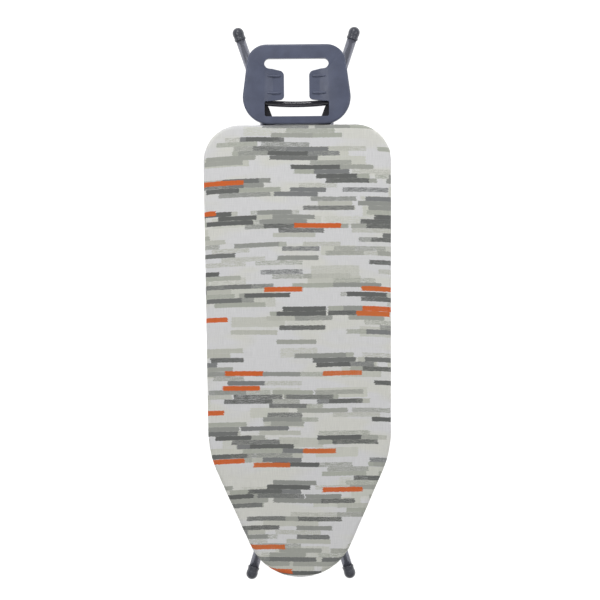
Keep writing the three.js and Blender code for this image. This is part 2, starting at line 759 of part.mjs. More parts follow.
function ironRest() {
  const [bottom, top] = REST_Z;
  const through = [bottom - 2, top + 2];
  const skin = top - REST_WALL;
  const wingSkin = WING_TOP - REST_WALL;
  const opening = extrudeZ(restOpening(0), through, 5);
  const wall = extrudeZ(restOpening(REST_WALL), through, 5);
  const wingArea = box([-77.5, 77.5], [452, 545], through);
  const lowPocket = cut(extrudeZ(restOutline(REST_WALL), [bottom - 1, wingSkin], 10), wall);
  const highPocket = cut(extrudeZ(restOutline(REST_WALL), [wingSkin - 1, skin], 10), wall, wingArea);
  const wingRecess = extrudeZ(rectangle([-74.5, 74.5], [459, 541], 3), [WING_TOP, top + 1], 3);
  const barNotch = box([-82, 82], [449, 476], [bottom - 1, 39.4]);
  const block = extrudeZ(restOutline(0), REST_Z, 10);
  let body = cut(block, opening, lowPocket, highPocket, wingRecess, barNotch);
  for (const [, side] of sides) {
    for (const [x, y] of REST_SCREWS) {
      const boss = rod([side * x, y, bottom], [0, 0, 1], skin + 0.5 - bottom, 4.5, 16);
      body = cut(join(body, boss), rod([side * x, y, bottom - 1], [0, 0, 1], 13, 1.8, 12));
    }
    for (const y of [483, 522]) {
      const rib = rectangle([side * 36, side * 71].sort((a, b) => a - b), [y - 2, y + 2], 1.5);
      body = join(body, extrudeZ(rib, [WING_TOP - 0.5, WING_TOP + 2], 3));
    }
  }
  const tab = rectangle([-8, 8], [SQUARE_END_Y + 0.5, SQUARE_END_Y + 4], 0.8);
  return join(body, extrudeZ(tab, [top - 8, top - 0.6], 3));
}

// A pressed plate whose two arms carry the rest, with a round bowed bar between them.
function restSupport() {
  const arm = (side) =>
    extrudeZ(
      rounded(
        [
          [50, 361, 3],
          [62, 361, 3],
          [64, 404, 4],
          [99, 425, 6],
          [99, 534, 6],
          [76, 534, 6],
          [76, 470, 4],
          [66, 455, 8],
          [50, 412, 10],
        ].map(([x, y, radius]) => [side * x, y, radius]),
      ),
      SUPPORT_Z,
      4,
    );
  const [barR, half, bow, barZ] = [7, 78, 5, 31.9];
  const bowR = (half * half + bow * bow) / (2 * bow);
  const steps = 8;
  const sweepAngle = Math.asin(half / bowR);
  const stations = Array.from({ length: steps + 1 }, (_, i) => {
    const angle = -sweepAngle + (2 * sweepAngle * i) / steps;
    return {
      point: new THREE.Vector3(bowR * Math.sin(angle), 457.5 + bowR * (1 - Math.cos(angle)), barZ),
      tangent: new THREE.Vector3(Math.cos(angle), Math.sin(angle), 0),
    };
  });
  const screws = sides.flatMap(([, side]) =>
    REST_SCREWS.map(([x, y]) => rod([side * x, y, 20], [0, 0, 1], 12, 2, 12)),
  );
  const bar = sweep(new StationPath(stations), barR);
  return cut(join(arm(-1), arm(1), bar), ...supportBoltHoles(), ...screws);
}

// A pan-head screw from below.
const screw = (x, y, seat, shank, length, head, headHeight) =>
  turned(
    [
      [0, -headHeight],
      [head * 0.75, -headHeight],
      [head, -headHeight * 0.4],
      [head, 0],
      [shank, 0],
      [shank, length],
      [0, length],
    ],
    [x, y, seat - GAP],
    [0, 0, 1],
    16,
  );

node("iron_rest", ironRest(), SLATE_PLASTIC);
node("rest_support", restSupport(), BLACK_PAINT);
for (const [word, side] of sides) {
  const [boltX, boltY] = SUPPORT_BOLTS;
  node(`support_bolt_${word}`, screw(side * boltX, boltY, SUPPORT_Z[0], 2.5, 12, 4.5, 1.6), ZINC);
  REST_SCREWS.forEach(([x, y], i) => {
    node(`rest_screw_${word}_${i + 1}`, screw(side * x, y, SUPPORT_Z[0], 1.5, 12, 3.2, 1.4), ZINC);
  });
}

export default ironingBoard;
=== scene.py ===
"""A folding ironing board, folded flat and cloth side up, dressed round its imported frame.

Metres, +Z up, +Y towards the iron rest, +X to the right.
"""

import math

import bmesh
import bpy
from mathutils import Matrix, Vector, noise


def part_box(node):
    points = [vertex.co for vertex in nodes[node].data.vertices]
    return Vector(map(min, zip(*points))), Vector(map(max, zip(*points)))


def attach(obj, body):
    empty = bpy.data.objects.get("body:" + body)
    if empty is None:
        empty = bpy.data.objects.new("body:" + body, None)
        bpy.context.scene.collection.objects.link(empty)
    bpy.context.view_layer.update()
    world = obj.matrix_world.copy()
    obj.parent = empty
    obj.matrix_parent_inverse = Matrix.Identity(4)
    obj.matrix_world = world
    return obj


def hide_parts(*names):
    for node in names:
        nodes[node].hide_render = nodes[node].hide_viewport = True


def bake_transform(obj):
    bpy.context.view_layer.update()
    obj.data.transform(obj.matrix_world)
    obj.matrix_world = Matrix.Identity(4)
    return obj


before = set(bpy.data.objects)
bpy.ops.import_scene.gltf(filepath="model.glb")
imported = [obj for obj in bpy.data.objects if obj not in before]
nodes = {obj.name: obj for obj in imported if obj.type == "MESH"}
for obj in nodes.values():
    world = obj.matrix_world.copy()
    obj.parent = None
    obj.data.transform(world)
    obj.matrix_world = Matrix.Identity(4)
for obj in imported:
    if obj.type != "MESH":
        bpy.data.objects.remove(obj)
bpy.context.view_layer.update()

MM = 0.001
SIDES = (("left", -1), ("right", 1))
BMVert, BMEdge, BMFace = bmesh.types.BMVert, bmesh.types.BMEdge, bmesh.types.BMFace
X, Y, Z = Vector((1, 0, 0)), Vector((0, 1, 0)), Vector((0, 0, 1))


# ------------------------------------------------------------------ sizes, as the frame has them

LEG_Z = 13 * MM
TUBE_R = 11 * MM
TUBE_WALL = 1.2 * MM
HINGE_REACH = 380 * MM
TUBE_END = 11 * MM
BEND_R = 90 * MM
FOOT_Y = 624 * MM
LEGS = {
    "outer": {"way": 1, "x": 74 * MM, "foot_x": 134 * MM, "splay": math.radians(18.5)},
    "inner": {"way": -1, "x": 38 * MM, "foot_x": 113 * MM, "splay": math.radians(17)},
}
CAP_R = 13 * MM
CAP_LENGTH = 30 * MM
PIN_R = 4 * MM
ROD_BORE = PIN_R + 0.1 * MM


def both_sides(*arcs):
    """Arcs (x, y, radius) of an outline's right half, and their mirror images, each marked with its side."""
    return [(side * x * MM, y * MM, radius * MM, side) for x, y, radius in arcs for _, side in SIDES]


# An outline is the hull of its arcs. An arc counts only on its own side of the middle.
BOARD_ARCS = both_sides((0, -503, 127), (-26.5, -292, 237), (133, 327, 83))
REST_ARCS = both_sides((69, 549.5, 45), (62, 473.5, 62))


# ------------------------------------------------------------------ shader graphs


class Graph:
    """A node tree with one short call for each kind of node that the finishes use."""

    def __init__(self, tree):
        self.tree = tree

    def add(self, kind, **settings):
        node = self.tree.nodes.new(kind)
        for name, value in settings.items():
            setattr(node, name, value)
        return node

    def feed(self, socket, value):
        if value is None:
            return
        if isinstance(value, bpy.types.NodeSocket):
            self.tree.links.new(value, socket)
        elif isinstance(value, (int, float)) and hasattr(socket.default_value, "__len__"):
            socket.default_value = [value] * len(socket.default_value)
        else:
            socket.default_value = value

    def math(self, operation, first, second=None):
        node = self.add("ShaderNodeMath", operation=operation)
        for socket, value in zip(node.inputs, (first, second)):
            self.feed(socket, value)
        return node.outputs[0]

    def plus(self, first, second):
        return self.math("ADD", first, second)

    def minus(self, first, second):
        return self.math("SUBTRACT", first, second)

    def times(self, first, second):
        return self.math("MULTIPLY", first, second)

    def between(self, value, low, high, to_low=0.0, to_high=1.0):
        """Goes smoothly from to_low to to_high as the value goes from low to high."""
        node = self.add("ShaderNodeMapRange", interpolation_type="SMOOTHSTEP")
        for name, given in (
            ("Value", value),
            ("From Min", low),
            ("From Max", high),
            ("To Min", to_low),
            ("To Max", to_high),
        ):
            self.feed(node.inputs[name], given)
        return node.outputs["Result"]

    def split(self, vector):
        node = self.add("ShaderNodeSeparateXYZ")
        self.feed(node.inputs[0], vector)
        return node.outputs

    def join(self, x=0.0, y=0.0, z=0.0):
        node = self.add("ShaderNodeCombineXYZ")
        for socket, value in zip(node.inputs, (x, y, z)):
            self.feed(socket, value)
        return node.outputs[0]

    def stretch(self, vector, scale):
        node = self.add("ShaderNodeVectorMath", operation="MULTIPLY")
        self.feed(node.inputs[0], vector)
        self.feed(node.inputs[1], scale)
        return node.outputs[0]

    def noise(self, vector, scale=1.0, detail=2.0):
        node = self.add("ShaderNodeTexNoise")
        self.feed(node.inputs["Vector"], vector)
        self.feed(node.inputs["Scale"], scale)
        self.feed(node.inputs["Detail"], detail)
        return node.outputs["Fac"]

    def chance(self, vector):
        """A white noise value and three more, as the parts of its colour."""
        node = self.add("ShaderNodeTexWhiteNoise", noise_dimensions="3D")
        self.feed(node.inputs["Vector"], vector)
        return node.outputs["Value"], self.split(node.outputs["Color"])

    def mix(self, factor, first, second, blend="MIX"):
        node = self.add("ShaderNodeMix", data_type="RGBA", blend_type=blend)
        self.feed(node.inputs["Factor"], factor)
        self.feed(node.inputs[6], first)
        self.feed(node.inputs[7], second)
        return node.outputs[2]

    def steps(self, value, stops):
        """Flat bands of colour: each (from, colour) holds until the next."""
        node = self.add("ShaderNodeValToRGB")
        node.color_ramp.interpolation = "CONSTANT"
        elements = node.color_ramp.elements
        elements.remove(elements[1])
        elements[0].position, elements[0].color = stops[0]
        for position, colour in stops[1:]:
            elements.new(position).color = colour
        self.feed(node.inputs["Fac"], value)
        return node.outputs["Color"]

    def bump(self, height, distance, strength=1.0):
        node = self.add("ShaderNodeBump")
        self.feed(node.inputs["Height"], height)
        self.feed(node.inputs["Distance"], distance)
        self.feed(node.inputs["Strength"], strength)
        return node.outputs["Normal"]

    def place(self):
        return self.add("ShaderNodeTexCoord").outputs["Object"]

    def group(self, tree, **values):
        node = self.add("ShaderNodeGroup", node_tree=tree)
        for name, value in values.items():
            self.feed(node.inputs[name.replace("_", " ").title()], value)
        return node.outputs


def colour(red, green, blue):
    """A display colour, 0 to 255, as the linear one that shaders use."""
    return [*((c / 255 / 12.92) if c < 11 else ((c / 255 + 0.055) / 1.055) ** 2.4 for c in (red, green, blue)), 1]


def lit(tint, factor):
    """A colour made lighter or darker."""
    return [*(min(1, c * factor) for c in tint[:3]), 1]


def new_group(name, inputs, outputs):
    """A shader node group with these sockets, and the Graph that fills it."""
    tree = bpy.data.node_groups.new(name, "ShaderNodeTree")
    for label, kind, value in inputs:
        socket = tree.interface.new_socket(label, in_out="INPUT", socket_type=kind)
        if value is not None:
            socket.default_value = value
    for label, kind in outputs:
        tree.interface.new_socket(label, in_out="OUTPUT", socket_type=kind)
    graph = Graph(tree)
    return tree, graph, graph.add("NodeGroupInput").outputs, graph.add("NodeGroupOutput").inputs


FLOAT, VECTOR = "NodeSocketFloat", "NodeSocketVector"


def brush_stroke_group():
    """Rows of flat brush strokes. Each row drifts along from the one below, so that strokes climb like stairs."""
    tree, g, given, out = new_group(
        "brush_strokes",
        (
            ("Place", VECTOR, None),
            ("Pitch", FLOAT, 0.0105),
            ("Length", FLOAT, 0.12),
            ("Seed", FLOAT, 0.0),
            ("Cover", FLOAT, 0.5),
            ("Dryness", FLOAT, 0.4),
            ("Clumping", FLOAT, 1.0),
        ),
        (("Mask", FLOAT), ("Tone", FLOAT)),
    )
    x, y, _ = g.split(given["Place"])
    pitch, length, seed = given["Pitch"], given["Length"], given["Seed"]

    # The paint's edge is pushed about, so that no stroke is a clean rectangle.
    rough_x = g.minus(g.noise(g.stretch(given["Place"], (130.0, 420.0, 0.0)), detail=3.0), 0.5)
    rough_y = g.minus(g.noise(g.stretch(given["Place"], (170.0, 90.0, 0.0)), detail=3.0), 0.5)
    rows = g.math("DIVIDE", g.plus(y, g.times(rough_y, 0.0030)), pitch)
    row = g.math("FLOOR", rows)
    across = g.math("ABSOLUTE", g.minus(g.minus(rows, row), 0.5))

    drift = g.noise(g.join(g.times(row, 0.23), g.times(seed, 3.7)), detail=1.0)
    jitter, _ = g.chance(g.join(row, seed, 5.0))
    offset = g.plus(g.times(drift, 4.5), g.times(jitter, 0.3))
    along = g.plus(g.math("DIVIDE", g.plus(x, g.times(rough_x, 0.012)), length), offset)
    cell = g.math("FLOOR", along)
    local = g.minus(along, cell)

    wish, (start_draw, end_draw, dry_draw) = g.chance(g.join(cell, row, seed))
    tone, _ = g.chance(g.join(cell, row, g.plus(seed, 31.0)))
    start = g.times(start_draw, 0.16)
    end = g.minus(1.0, g.times(end_draw, 0.34))
    begun = g.between(local, start, g.plus(start, 0.008))
    ended = g.between(local, g.minus(end, 0.008), end)

    wobble = g.noise(g.join(g.times(x, 50.0), g.times(row, 3.3), seed))
    reach = g.plus(0.36, g.times(wobble, 0.22))
    edge = g.between(across, reach, g.plus(reach, 0.05))

    middle = g.times(g.minus(g.plus(cell, 0.5), offset), length)
    row_place = g.times(row, pitch)
    clump = g.noise(g.join(g.times(middle, 7.0), g.times(row_place, 19.0)), detail=1.0)
    likely = g.between(clump, 0.40, 0.60, g.minus(1.0, given["Clumping"]), 1.0)
    wanted = g.math("LESS_THAN", wish, g.times(likely, given["Cover"]))

    streak = g.noise(g.join(g.times(x, 70.0), g.times(y, 700.0), seed), detail=3.0)
    speckle = g.noise(g.join(g.times(x, 420.0), g.times(y, 420.0), seed), detail=2.0)
    gaps = g.plus(g.times(streak, 0.6), g.times(speckle, 0.4))
    bare = g.times(g.between(gaps, 0.46, 0.56), g.between(dry_draw, 0.3, 1.0))
    painted = g.minus(1.0, g.times(bare, given["Dryness"]))

    mask = g.times(begun, g.minus(1.0, ended))
    mask = g.times(mask, g.minus(1.0, edge))
    mask = g.times(g.times(mask, wanted), painted)
    g.feed(out["Mask"], mask)
    g.feed(out["Tone"], tone)
    return tree


def moulding_grain_group():
    """Fine uneven grain for mouldings and paint: a height, a patchy shade, and a mask of rubbed patches."""
    tree, g, given, out = new_group(
        "surface_grain",
        (("Place", VECTOR, None), ("Size", FLOAT, 0.001)),
        (("Height", FLOAT), ("Shade", FLOAT), ("Rubbed", FLOAT)),
    )
    fine = g.noise(given["Place"], g.math("DIVIDE", 1.0, given["Size"]), detail=3.0)
    broad = g.noise(given["Place"], g.math("DIVIDE", 0.04, given["Size"]), detail=2.0)
    scuffs = g.noise(g.stretch(given["Place"], (1.0, 0.25, 1.0)), g.math("DIVIDE", 0.12, given["Size"]), detail=4.0)
    g.feed(out["Height"], fine)
    g.feed(out["Shade"], g.plus(g.times(fine, 0.4), g.times(broad, 0.6)))
    g.feed(out["Rubbed"], g.between(scuffs, 0.56, 0.75))
    return tree


def weave_group():
    """A plain weave of warp threads along Y and weft threads along X, with slubs."""
    tree, g, given, out = new_group(
        "plain_weave",
        (("Place", VECTOR, None), ("Thread", FLOAT, 0.0006)),
        (("Height", FLOAT), ("Slub", FLOAT)),
    )
    x, y, z = g.split(given["Place"])
    turns = g.math("DIVIDE", math.pi, given["Thread"])
    warp = g.math("SINE", g.times(x, turns))
    weft = g.math("SINE", g.times(g.plus(y, z), turns))
    over = g.times(warp, weft)
    slub = g.noise(g.join(g.times(x, 700.0), g.times(y, 40.0), z), detail=2.0)
    slub_across = g.noise(g.join(g.times(x, 30.0), g.times(y, 700.0), z), detail=2.0)
    g.feed(out["Height"], g.plus(g.times(over, 0.5), g.times(slub, 0.8)))
    g.feed(out["Slub"], g.plus(g.times(slub, 0.65), g.times(slub_across, 0.35)))
    return tree


BRUSH_STROKES = brush_stroke_group()
GRAIN = moulding_grain_group()
WEAVE = weave_group()


def new_material(name, roughness, metallic=0.0, **constants):
    material = bpy.data.materials.new(name)
    material.use_nodes = True
    shader = material.node_tree.nodes["Principled BSDF"]
    shader.inputs["Roughness"].default_value = roughness
    shader.inputs["Metallic"].default_value = metallic
    for label, value in constants.items():
        shader.inputs[label.replace("_", " ")].default_value = value
    return material, Graph(material.node_tree), shader.inputs


def printed_cotton():
    """Bleached cotton with a print of short horizontal brush strokes in greys, cream and orange."""
    material, g, shader = new_material("printed_cotton", 0.9, Sheen_Weight=0.12, Sheen_Roughness=0.5)
    place = g.place()
    x, y, z = g.split(place)

    # The print runs on down the skirt: the drop from the top adds to the distance out from the middle.
    drop = g.minus(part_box("cover")[1].z, z)
    toward_side = g.math("DIVIDE", x, 0.19)
    toward_side = g.math("MAXIMUM", g.math("MINIMUM", toward_side, 1.0), -1.0)
    toward_end = g.minus(g.between(y, 0.33, 0.40), g.between(y, -0.50, -0.60))
    x = g.plus(x, g.times(drop, toward_side))
    y = g.plus(y, g.times(drop, toward_end))

    # The cloth is pulled round the board, so the rows of the print bow and wander a little.
    sway = g.noise(g.join(g.times(x, 3.0), g.times(y, 2.2)), detail=1.0)
    bow = g.times(g.math("POWER", g.math("ABSOLUTE", x), 4.0), 1.8)
    row_y = g.plus(g.plus(y, g.times(sway, 0.016)), bow)
    printed = g.join(x, row_y, 0.0)

    patches = g.between(g.noise(g.stretch(printed, (5.0, 14.0, 1.0)), detail=2.0), 0.45, 0.6)
    colours = g.mix(patches, colour(239, 239, 240), colour(238, 238, 231))

    layers = (
        # pitch, length, seed, cover, dryness, clumping, bands of colour by tone
        (0.0230, 0.130, 3.0, 0.50, 1.0, 0.8, ((0.0, colour(226, 227, 217)), (0.6, colour(219, 220, 210)))),
        (0.0105, 0.132, 11.0, 0.55, 0.9, 0.95, ((0.0, colour(210, 211, 201)), (0.5, colour(192, 195, 184)))),
        (
            0.0105, 0.122, 23.0, 0.62, 0.6, 1.0,
            ((0.0, colour(183, 185, 177)), (0.4, colour(166, 168, 163)), (0.75, colour(142, 144, 144))),
        ),
        (0.0105, 0.118, 41.0, 0.42, 0.4, 1.0, ((0.0, colour(114, 116, 114)), (0.6, colour(131, 133, 131)))),
        (0.0112, 0.112, 57.0, 0.060, 0.12, 0.4, ((0.0, colour(232, 112, 52)), (0.5, colour(228, 120, 62)))),
    )
    ink = None
    for pitch, length, seed, cover, dryness, clumping, bands in layers:
        mask, tone = g.group(
            BRUSH_STROKES, place=printed, pitch=pitch, length=length, seed=seed, cover=cover, dryness=dryness,
            clumping=clumping,
        )
        colours = g.mix(mask, colours, g.steps(tone, bands))
        ink = mask if ink is None else g.math("MAXIMUM", ink, mask)

    height, slub = g.group(WEAVE, place=place, thread=0.0007)
    shade = g.between(slub, 0.3, 0.7, 0.93, 1.03)
    g.feed(shader["Base Color"], g.mix(1.0, colours, g.join(shade, shade, shade), "MULTIPLY"))
    g.feed(shader["Roughness"], g.minus(0.95, g.times(ink, 0.08)))
    g.feed(shader["Normal"], g.bump(height, 0.00025, 0.6))
    return material


def moulded_plastic(name, tint, roughness, grain=0.0012):
    """Satin moulding with spark grain and a little patchiness."""
    material, g, shader = new_material(name, roughness)
    height, shade, rubbed = g.group(GRAIN, place=g.place(), size=grain)
    g.feed(shader["Base Color"], g.mix(g.between(shade, 0.35, 0.65), lit(tint, 0.9), lit(tint, 1.13)))
    g.feed(shader["Roughness"], g.minus(roughness, g.times(rubbed, 0.12)))
    g.feed(shader["Normal"], g.bump(height, 0.00012, 0.5))
    return material


def powder_coat(name, tint, roughness, size=0.0016, metallic=0.0, coat=0.0):
    """Baked paint with a slight orange peel."""
    material, g, shader = new_material(name, roughness, metallic, Coat_Weight=coat, Coat_Roughness=0.12)
    height, shade, rubbed = g.group(GRAIN, place=g.place(), size=size)
    g.feed(shader["Base Color"], g.mix(g.between(shade, 0.3, 0.7), tint, lit(tint, 1.18)))
    g.feed(shader["Roughness"], g.plus(roughness, g.times(rubbed, 0.15)))
    g.feed(shader["Normal"], g.bump(height, 0.00006, 0.3))
    return material


def zinc_plate():
    """Bright zinc with a faint spangle and cloudy patches."""
    material, g, shader = new_material("zinc_plate", 0.34, 0.95)
    height, shade, _ = g.group(GRAIN, place=g.place(), size=0.0022)
    g.feed(shader["Base Color"], g.mix(g.between(shade, 0.35, 0.65), colour(176, 180, 186), colour(206, 208, 210)))
    g.feed(shader["Roughness"], g.between(shade, 0.3, 0.7, 0.28, 0.46))
    g.feed(shader["Normal"], g.bump(height, 0.00006, 0.4))
    return material


def foam():
    """Cream open-cell foam."""
    material, g, shader = new_material("foam", 0.95)
    cells = g.noise(g.place(), 900.0, detail=3.0)
    g.feed(shader["Base Color"], g.mix(g.between(cells, 0.4, 0.6), colour(206, 196, 164), colour(232, 224, 198)))
    g.feed(shader["Normal"], g.bump(cells, 0.0008))
    return material


def braided_elastic():
    """White elastic cord with slanting braid."""
    material, g, shader = new_material("braided_elastic", 0.8)
    x, y, z = g.split(g.place())
    slant = g.times(g.plus(g.plus(x, y), g.times(z, 2.0)), 4200.0)
    braid = g.math("SINE", slant)
    g.feed(shader["Base Color"], g.mix(g.between(braid, -1.0, 1.0), colour(196, 196, 190), colour(240, 240, 236)))
    g.feed(shader["Normal"], g.bump(braid, 0.0002))
    return material


COTTON = printed_cotton()
SLATE_PLASTIC = moulded_plastic("slate_moulding", colour(92, 98, 119), 0.42)
GREY_PLASTIC = moulded_plastic("grey_moulding", colour(80, 82, 90), 0.33)
NYLON = moulded_plastic("natural_nylon", colour(226, 225, 214), 0.5)
SLATE_PAINT = powder_coat("slate_powder_coat", colour(122, 124, 136), 0.27, metallic=0.5, coat=0.3)
# Near-black gloss for the rest bracket: part paint, part painted shade for the hollow under the iron rest.
BLACK_PAINT_AND_SHADE = powder_coat("black_gloss_paint_and_painted_shade", colour(44, 44, 51), 0.24, coat=0.4)
ZINC = zinc_plate()
FOAM = foam()
ELASTIC = braided_elastic()


# ------------------------------------------------------------------ making pieces


def only(kind, geometry):
    return [item for item in geometry if isinstance(item, kind)]


def link(name, data):
    """Puts an object with this data in the scene."""
    made = bpy.data.objects.new(name, data)
    bpy.context.scene.collection.objects.link(made)
    return made


def mesh_object(name, bm):
    mesh = bpy.data.meshes.new(name)
    bm.to_mesh(mesh)
    bm.free()
    return link(name, mesh)


def shade(target, sharp=35):
    """Smooth shading, but for edges sharper than an angle in degrees."""
    target.data.shade_smooth()
    target.data.set_sharp_from_angle(angle=math.radians(sharp))


def piece(name, bm, finish, body, *stands_for, sharp=35):
    """Turns a bmesh into a piece that stands for CAD nodes, and rides on a body unless that is None."""
    made = mesh_object(name, bm)
    shade(made, sharp)
    made.data.materials.append(finish)
    if body:
        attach(made, body)
    if stands_for:
        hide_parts(*stands_for)
    return made


def mend(bm):
    """Merges doubles and turns every face outwards."""
    bmesh.ops.remove_doubles(bm, verts=bm.verts, dist=1e-6)
    bmesh.ops.recalc_face_normals(bm, faces=bm.faces)
    return bm


def stand(bm, at, along):
    """Turns a shape made round Z to lie along a direction, from a point."""
    turn = Z.rotation_difference(Vector(along)).to_matrix().to_4x4()
    bmesh.ops.transform(bm, matrix=Matrix.Translation(at) @ turn, verts=bm.verts)
    return bm


def turned(profile, at, along, steps=48):
    """A profile of (radius, distance) points spun about a line."""
    bm = bmesh.new()
    points = [bm.verts.new((radius, 0, distance)) for radius, distance in profile]
    edges = [bm.edges.new(pair) for pair in zip(points, points[1:])]
    bmesh.ops.spin(
        bm, geom=points + edges, cent=(0, 0, 0), axis=(0, 0, 1), dvec=(0, 0, 0), angle=2 * math.pi, steps=steps,
        use_merge=True, use_duplicate=False,
    )
    return stand(mend(bm), at, along)


def block(size, middle):
    bm = bmesh.new()
    bmesh.ops.create_cube(bm, size=1.0)
    bmesh.ops.scale(bm, vec=size, verts=bm.verts)
    bmesh.ops.translate(bm, vec=middle, verts=bm.verts)
    return bm


def bevel(bm, edges, width, segments=4, affect="EDGES"):
    bmesh.ops.bevel(
        bm, geom=edges, offset=width, offset_type="OFFSET", affect=affect, segments=segments, profile=0.5, material=-1,
        clamp_overlap=True,
    )


def flat_shape(corners, low, high):
    """An outline of (x, y, corner radius) points in millimetres, its corners rounded, raised from low to high."""
    bm = bmesh.new()
    points = [bm.verts.new((x * MM, y * MM, low)) for x, y, _ in corners]
    bm.faces.new(points)
    for point, (_, _, radius) in zip(points, corners):
        if radius:
            bevel(bm, [point], radius * MM, 8, "VERTICES")
    run_on(bm, bm.faces[:], (0, 0, high - low))
    return mend(bm)


def run_on(bm, faces, along):
    """Draws faces out in a straight line, and gives the faces they end in."""
    grown = bmesh.ops.extrude_face_region(bm, geom=faces)["geom"]
    bmesh.ops.translate(bm, verts=only(BMVert, grown), vec=along)
    return only(BMFace, grown)


def hull_slab(arcs, low, high, inset=0.0, segments=192):
    """The hull of an outline's arcs, drawn in by inset, as a slab."""
    bm = bmesh.new()
    for x, y, radius, side in arcs:
        for height in (low, high):
            place = Matrix.Translation((x, y, height))
            ring = bmesh.ops.create_circle(bm, segments=segments, radius=radius - inset, matrix=place)["verts"]
            other_side = [v for v in ring if v.co.x * side < -1e-6]
            bmesh.ops.delete(bm, geom=other_side, context="VERTS")
    hull = bmesh.ops.convex_hull(bm, input=bm.verts[:])
    loose = set(only(BMVert, hull["geom_interior"] + hull["geom_unused"]))
    bmesh.ops.delete(bm, geom=list(loose), context="VERTS")
    bmesh.ops.remove_doubles(bm, verts=bm.verts, dist=1e-6)
    bmesh.ops.dissolve_limit(bm, angle_limit=math.radians(0.1), verts=bm.verts[:], edges=bm.edges[:])
    return mend(bm)


def rim_edges(bm, height):
    """The sharp edges that lie at a height, round a slab's face."""
    level = [e for e in bm.edges if all(abs(v.co.z - height) < 1e-6 for v in e.verts)]
    return [e for e in level if len(e.link_faces) == 2 and abs(e.calc_face_angle(0)) > math.radians(30)]


def carve(target, cutters, operation="DIFFERENCE"):
    """Cuts shapes out of a mesh, or joins them to it, and leaves the result in the mesh."""
    for bm in cutters:
        cutter = mesh_object("cutter", bm)
        modifier = target.modifiers.new("cut", "BOOLEAN")
        modifier.operation = operation
        modifier.solver = "EXACT"
        modifier.object = cutter
        apply_modifiers(target)
        bpy.data.objects.remove(cutter)
    return target


def apply_modifiers(target):
    """Bakes an object's modifiers into its mesh."""
    graph = bpy.context.evaluated_depsgraph_get()
    done = bpy.data.meshes.new_from_object(target.evaluated_get(graph), depsgraph=graph)
    target.modifiers.clear()
    target.data = done


def soften(target, width, segments=3, angle=35):
    """Rounds a mesh's sharp edges, as a mould does."""
    modifier = target.modifiers.new("rounded_edges", "BEVEL")
    modifier.width = width
    modifier.segments = segments
    modifier.limit_method = "ANGLE"
    modifier.angle_limit = math.radians(angle)
    modifier.use_clamp_overlap = True
    modifier.miter_outer = "MITER_ARC"
    modifier.harden_normals = True
    return target


# ------------------------------------------------------------------ legs


def leg_tube(kind, word, side):
    """A drawn tube: a long straight run, one bend, and a short run out to the foot."""
    leg = LEGS[kind]
    way, splay = leg["way"], leg["splay"]
    bend_y = FOOT_Y - (leg["foot_x"] - leg["x"]) / math.tan(splay)
    bend_start = bend_y - BEND_R * math.tan(splay / 2)
    bend_end = bend_y + BEND_R * math.tan(splay / 2) * math.cos(splay)
    bm = bmesh.new()
    start = Vector((side * leg["x"], -way * (HINGE_REACH + TUBE_END), LEG_Z))
    bmesh.ops.create_circle(bm, segments=40, radius=TUBE_R)
    bmesh.ops.transform(bm, matrix=Matrix.Translation(start) @ Matrix.Rotation(math.pi / 2, 4, "X"), verts=bm.verts)

    def push(edges, along):
        grown = bmesh.ops.extrude_edge_only(bm, edges=edges)["geom"]
        bmesh.ops.translate(bm, verts=only(BMVert, grown), vec=along)
        return only(BMEdge, grown)

    rim = push(bm.edges[:], Vector((0, way * (HINGE_REACH + TUBE_END + bend_start), 0)))
    centre = (side * (leg["x"] + BEND_R), way * bend_start, LEG_Z)
    swung = bmesh.ops.spin(
        bm, geom=rim, cent=centre, axis=(0, 0, -side * way), dvec=(0, 0, 0), angle=splay, steps=10
    )
    inside_cap = 4 * MM
    run = (FOOT_Y - bend_end) / math.cos(splay) - inside_cap
    push(only(BMEdge, swung["geom_last"]), Vector((side * math.sin(splay), way * math.cos(splay), 0)) * run)
    mend(bm)
    tube = piece(f"{kind}_tube_{word}", bm, SLATE_PAINT, f"{kind}_leg", f"{kind}_leg_tube_{word}")
    wall = tube.modifiers.new("tube_wall", "SOLIDIFY")
    wall.thickness = TUBE_WALL
    wall.offset = -1
    return tube


def foot_cap(kind, word, side):
    """A moulded cup with a round end, a collar and a groove behind it."""
    leg = LEGS[kind]
    mouth = CAP_R - CAP_LENGTH
    bore = TUBE_R + 0.1 * MM
    angles = [math.radians(degrees) for degrees in range(90, -1, -9)]
    profile = [(CAP_R * math.cos(a), CAP_R * math.sin(a)) for a in angles]
    profile += [
        (CAP_R, mouth + 12.5 * MM),
        (CAP_R - 0.5 * MM, mouth + 12 * MM),
        (CAP_R - 0.7 * MM, mouth + 11 * MM),
        (CAP_R - 0.7 * MM, mouth + 6 * MM),
        (CAP_R - 0.4 * MM, mouth + 5 * MM),
        (CAP_R, mouth + 4.4 * MM),
        (CAP_R, mouth + 0.8 * MM),
        (CAP_R - 0.3 * MM, mouth + 0.2 * MM),
        (CAP_R - 0.8 * MM, mouth),
        (bore, mouth),
        (bore, 3 * MM),
        (0, 3 * MM),
    ]
    at = (side * leg["foot_x"], leg["way"] * FOOT_Y, LEG_Z)
    along = (side * math.sin(leg["splay"]), leg["way"] * math.cos(leg["splay"]), 0)
    bm = turned(profile, at, along, 64)
    return piece(f"{kind}_cap_{word}", bm, GREY_PLASTIC, f"{kind}_leg", f"{kind}_foot_cap_{word}")


